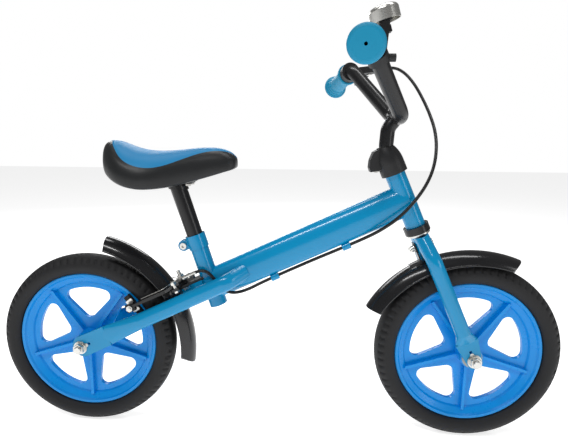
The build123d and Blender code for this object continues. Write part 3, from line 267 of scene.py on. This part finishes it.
slotFinish = {
    "blue_paint": "bluePaint",
    "black_paint": "blackPaint",
    "black_plastic": "blackPlastic",
    "gloss_black_plastic": "glossPlastic",
    "blue_plastic": "wheelPlastic",
    "white_plastic": "whitePlastic",
    "tyre_foam": "tyreFoam",
    "grip_rubber": "gripRubber",
    "black_rubber": "padRubber",
    "cable_sheath": "cableSheath",
    "saddle_cover": "blackPlastic",
    "zinc": "zincSteel",
    "bell_steel": "bellSteel",
}


def dressNodes():
    for row in frame["record"]["subparts"]:
        node = nodes[row["node"]]
        node.data.materials.clear()
        node.data.materials.append(materials[slotFinish[row["material_slot"]]])


dressNodes()

print("brake cable")

cableSet = {
    "radius": 0.0025,
    "points": [
        (0.1781, 0.1305, 0.5906), (0.1958, 0.1348, 0.5934), (0.214, 0.131, 0.584), (0.228, 0.119, 0.565),
        (0.238, 0.101, 0.541), (0.2455, 0.078, 0.514), (0.2495, 0.053, 0.486), (0.247, 0.029, 0.459),
        (0.2385, 0.006, 0.431), (0.225, -0.011, 0.406), (0.207, -0.021, 0.382), (0.185, -0.0235, 0.357),
        (0.158, -0.017, 0.3345), (0.128, -0.006, 0.3158),
        (0.093, -0.0035, 0.299), (0.056, -0.003, 0.2819), (0.019, -0.0032, 0.2642), (-0.017, -0.0045, 0.247),
        (-0.046, -0.010, 0.2326), (-0.066, -0.0175, 0.2308), (-0.080, -0.0206, 0.2385),
        (-0.089, -0.0207, 0.250), (-0.1003, -0.0206, 0.2634), (-0.1076, -0.0205, 0.267),
        (-0.1157, -0.0205, 0.2671), (-0.1238, -0.0205, 0.2633),
    ],
    "split": 0.450,
    "top": 0.583,
    "low": 0.335,
}


def cableMesh():
    curve = bpy.data.curves.new("cableLine", "CURVE")
    curve.dimensions = "3D"
    curve.bevel_depth = cableSet["radius"]
    curve.bevel_resolution = 5
    curve.resolution_u = 12
    curve.use_fill_caps = True
    line = curve.splines.new("NURBS")
    line.points.add(len(cableSet["points"]) - 1)
    for point, place in zip(line.points, cableSet["points"]):
        point.co = (*place, 1)
    line.order_u = 3
    line.use_endpoint_u = True
    holder = bpy.data.objects.new("cableLine", curve)
    bpy.context.scene.collection.objects.link(holder)
    bpy.context.view_layer.update()
    mesh = bpy.data.meshes.new_from_object(holder)
    bpy.data.objects.remove(holder)
    return mesh


def cablePart(name, keepAbove):
    form = bmesh.new()
    form.from_mesh(cableMesh())
    bmesh.ops.remove_doubles(form, verts=form.verts, dist=0.00001)
    everything = form.verts[:] + form.edges[:] + form.faces[:]
    bmesh.ops.bisect_plane(
        form, geom=everything, plane_co=(0, 0, cableSet["split"]), plane_no=(0, 0, 1),
        clear_inner=keepAbove, clear_outer=not keepAbove,
    )
    for face in form.faces:
        face.smooth = True
    mesh = bpy.data.meshes.new(name)
    form.to_mesh(mesh)
    form.free()
    piece = bpy.data.objects.new(name, mesh)
    bpy.context.scene.collection.objects.link(piece)
    mesh.materials.clear()
    mesh.materials.append(materials["cableSheath"])
    return piece


upperCable = cablePart("brake_cable_upper", True)
lowerCable = cablePart("brake_cable_lower", False)
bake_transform(upperCable)
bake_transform(lowerCable)
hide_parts("brake_cable")
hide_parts("brake_cable")

print("tyres")

tyreSet = {
    "steps": 216,
    "grooveEvery": 3,
    "grooveDepth": 0.0011,
    "grooveEdge": 0.0007,
    "wall": 0.0006,
    # across the wheel, out from the axle
    "profile": [
        (0.0132, 0.1126), (0.0165, 0.1136), (0.0195, 0.1170), (0.0213, 0.1222),
        (0.0214, 0.1270), (0.0203, 0.1312), (0.0178, 0.1352), (0.0135, 0.1390),
        (0.0125, 0.1396), (0.0080, 0.1412), (0.0045, 0.1420), (0.0018, 0.1424),
    ],
    "shoulder": (0.1318, 0.1388),
}


def makeTyre(name, node, body):
    low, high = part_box(node)
    centre = (low + high) / 2
    half = tyreSet["profile"]
    section = [(y, r) for y, r in half] + [(-y, r) for y, r in reversed(half)]
    form = bmesh.new()
    ring = [form.verts.new((r, y, 0)) for y, r in section]
    edges = [form.edges.new((a, b)) for a, b in zip(ring, ring[1:])]
    bmesh.ops.spin(
        form, geom=ring + edges, cent=(0, 0, 0), axis=(0, 1, 0), angle=2 * pi, steps=tyreSet["steps"],
        use_merge=True,
    )
    bmesh.ops.recalc_face_normals(form, faces=form.faces)
    grooves = []
    for face in form.faces:
        middle = face.calc_center_median()
        out = (middle.x ** 2 + middle.z ** 2) ** 0.5
        turn = Vector((middle.x, middle.z)).angle_signed(Vector((1, 0))) / (2 * pi) + 0.5
        step = int(turn * tyreSet["steps"] + 0.5)
        side = 1 if middle.y > 0 else 0
        onShoulder = tyreSet["shoulder"][0] < out < tyreSet["shoulder"][1]
        if onShoulder and (step + side) % tyreSet["grooveEvery"] == 0:
            grooves.append(face)
    bmesh.ops.inset_region(
        form, faces=grooves, thickness=tyreSet["grooveEdge"], depth=-tyreSet["grooveDepth"],
        use_even_offset=True,
    )
    for face in form.faces:
        face.smooth = True
    bmesh.ops.translate(form, verts=form.verts, vec=centre)
    mesh = bpy.data.meshes.new(name)
    form.to_mesh(mesh)
    form.free()
    piece = bpy.data.objects.new(name, mesh)
    bpy.context.scene.collection.objects.link(piece)
    mesh.materials.append(materials["tyreFoam"])
    inner = piece.modifiers.new("wall", "SOLIDIFY")
    inner.thickness = tyreSet["wall"]
    inner.offset = -1
    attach(piece, body)
    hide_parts(node)


makeTyre("front_foam_tyre", "front_tyre", "front_wheel_set")
makeTyre("rear_foam_tyre", "rear_tyre", "rear_wheel_set")

print("saddle")

saddleSet = {
    # along the bike, half width, underside, top, seam height
    "sections": [
        (-0.2615, 0.010, 0.4300, 0.4520, 0.4520), (-0.2600, 0.018, 0.4268, 0.4570, 0.4570),
        (-0.2575, 0.025, 0.4235, 0.4615, 0.4615), (-0.2530, 0.034, 0.4185, 0.4648, 0.4648),
        (-0.2480, 0.042, 0.4140, 0.4658, 0.4655), (-0.2430, 0.047, 0.4108, 0.4656, 0.4625),
        (-0.2360, 0.0535, 0.4065, 0.4640, 0.4570), (-0.2260, 0.060, 0.4022, 0.4597, 0.4460),
        (-0.2150, 0.064, 0.3985, 0.4555, 0.4370), (-0.2020, 0.066, 0.3960, 0.4525, 0.4310),
        (-0.1900, 0.066, 0.3950, 0.4510, 0.4280), (-0.1780, 0.063, 0.3955, 0.4503, 0.4270),
        (-0.1650, 0.058, 0.3965, 0.4505, 0.4285), (-0.1520, 0.051, 0.3985, 0.4515, 0.4325),
        (-0.1400, 0.045, 0.4005, 0.4525, 0.4375), (-0.1260, 0.0385, 0.4045, 0.4542, 0.4430),
        (-0.1120, 0.033, 0.4085, 0.4555, 0.4480), (-0.0980, 0.0295, 0.4125, 0.4560, 0.4512),
        (-0.0850, 0.0265, 0.4165, 0.4550, 0.4520), (-0.0760, 0.0245, 0.4195, 0.4530, 0.4512),
        (-0.0680, 0.022, 0.4215, 0.4495, 0.4490), (-0.0620, 0.018, 0.4240, 0.4450, 0.4450),
        (-0.0585, 0.014, 0.4260, 0.4405, 0.4405),
    ],
    "side": 9,
    "crown": 7,
    "seamDepth": 0.0007,
    "fill": 0.9,
}


def outlineHalf(half, low, high):
    height = high - low
    return [
        (half * 0.8, low), (half * 0.94, low + height * 0.035), (half * 0.985, low + height * 0.13),
        (half, low + height * 0.32), (half * 0.955, low + height * 0.50), (half * 0.88, low + height * 0.66),
        (half * 0.73, low + height * 0.81), (half * 0.54, high - height * 0.08),
        (half * 0.28, high - height * 0.018),
        (0, high),
    ]


def alongOutline(points, height):
    # position along the outline, counted in points, where it first reaches a height
    for i in range(len(points) - 1):
        a, b = points[i], points[i + 1]
        if b[1] >= height:
            return i + max(0.0, min(1.0, (height - a[1]) / max(b[1] - a[1], 1e-6)))
    return len(points) - 1.0


def pointAt(points, t):
    i = min(int(t), len(points) - 2)
    f = t - i
    before = points[max(i - 1, 0)]
    a, b = points[i], points[i + 1]
    after = points[i + 2] if i + 2 < len(points) else (-points[-2][0], points[-2][1])
    out = []
    for k in (0, 1):
        slope = (b[k] - before[k]) * f
        bend = (2 * before[k] - 5 * a[k] + 4 * b[k] - after[k]) * f * f
        twist = (3 * a[k] - before[k] - 3 * b[k] + after[k]) * f ** 3
        out.append(0.5 * (2 * a[k] + slope + bend + twist))
    return out


def saddleRing(x, half, low, high, seam):
    points = outlineHalf(half, low, high)
    cut = min(alongOutline(points, seam), len(points) - 1.001)
    places = [pointAt(points, cut * i / saddleSet["side"]) for i in range(saddleSet["side"] + 1)]
    rest = len(points) - 1 - cut
    places += [pointAt(points, cut + rest * i / saddleSet["crown"]) for i in range(1, saddleSet["crown"] + 1)]
    loop = [(x, y, z) for y, z in places]
    loop += [(x, -y, z) for y, z in reversed(places[:-1])]
    return loop


def makeSaddle():
    form = bmesh.new()
    rings = [saddleRing(*row) for row in saddleSet["sections"]]
    count = len(rings[0])
    start = bmesh.ops.create_circle(form, cap_ends=False, segments=count, radius=0.01)["verts"]
    for vert, place in zip(start, rings[0]):
        vert.co = place
    loops = [start]
    for ring in rings[1:]:
        fresh = bmesh.ops.create_circle(form, cap_ends=False, segments=count, radius=0.01)["verts"]
        for vert, place in zip(fresh, ring):
            vert.co = place
        loops.append(fresh)
    side, crown = saddleSet["side"], saddleSet["crown"]
    for a, b in zip(loops, loops[1:]):
        for i in range(count):
            j = (i + 1) % count
            face = form.faces.new((a[i], a[j], b[j], b[i]))
            face.material_index = 1 if side <= i < side + 2 * crown else 0
    form.faces.new(loops[0])
    form.faces.new(loops[-1])
    bmesh.ops.recalc_face_normals(form, faces=form.faces)
    seam = [v for loop in loops for i, v in enumerate(loop) if i in (side, side + 2 * crown)]
    shift = [(v, v.normal.copy()) for v in seam]
    for vert, normal in shift:
        vert.co -= normal * saddleSet["seamDepth"]
    for face in form.faces:
        face.smooth = True
    mesh = bpy.data.meshes.new("saddle_cover")
    form.to_mesh(mesh)
    form.free()
    piece = bpy.data.objects.new("saddle_cover", mesh)
    bpy.context.scene.collection.objects.link(piece)
    mesh.materials.append(coverMaterial("coverBlack", (0.012, 0.013, 0.014), (0.022, 0.023, 0.024), 0.36))
    mesh.materials.append(coverMaterial("coverBlue", (0.008, 0.235, 0.50), (0.008, 0.200, 0.44), 0.50))
    smooth = piece.modifiers.new("smooth", "SUBSURF")
    smooth.levels = 2
    smooth.render_levels = 2
    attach(piece, "seat")
    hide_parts("saddle_pad")


def coverMaterial(name, colour, second, rough):
    # imitation leather: small rounded cells with creases between them
    made = bpy.data.materials.new(name)
    made.use_nodes = True
    tree = made.node_tree
    surface = tree.nodes["Principled BSDF"]
    surface.inputs["Specular IOR Level"].default_value = 0.3
    place = tree.nodes.new("ShaderNodeTexCoord")
    cells = tree.nodes.new("ShaderNodeTexVoronoi")
    cells.feature = "DISTANCE_TO_EDGE"
    cells.inputs["Scale"].default_value = 780
    broad = tree.nodes.new("ShaderNodeTexNoise")
    broad.inputs["Scale"].default_value = 30
    broad.inputs["Detail"].default_value = 6
    for texture in (cells, broad):
        tree.links.new(place.outputs["Object"], texture.inputs["Vector"])
    mix = tree.nodes.new("ShaderNodeMix")
    mix.data_type = "RGBA"
    mix.inputs[6].default_value = (*colour, 1)
    mix.inputs[7].default_value = (*second, 1)
    tree.links.new(broad.outputs["Fac"], mix.inputs[0])
    tree.links.new(mix.outputs[2], surface.inputs["Base Color"])
    gloss = tree.nodes.new("ShaderNodeMapRange")
    gloss.inputs["To Min"].default_value = rough + 0.06
    gloss.inputs["To Max"].default_value = rough - 0.06
    tree.links.new(broad.outputs["Fac"], gloss.inputs["Value"])
    tree.links.new(gloss.outputs["Result"], surface.inputs["Roughness"])
    bump = tree.nodes.new("ShaderNodeBump")
    bump.inputs["Strength"].default_value = 0.5
    bump.inputs["Distance"].default_value = 0.00025
    tree.links.new(cells.outputs["Distance"], bump.inputs["Height"])
    tree.links.new(bump.outputs["Normal"], surface.inputs["Normal"])
    return made


makeSaddle()
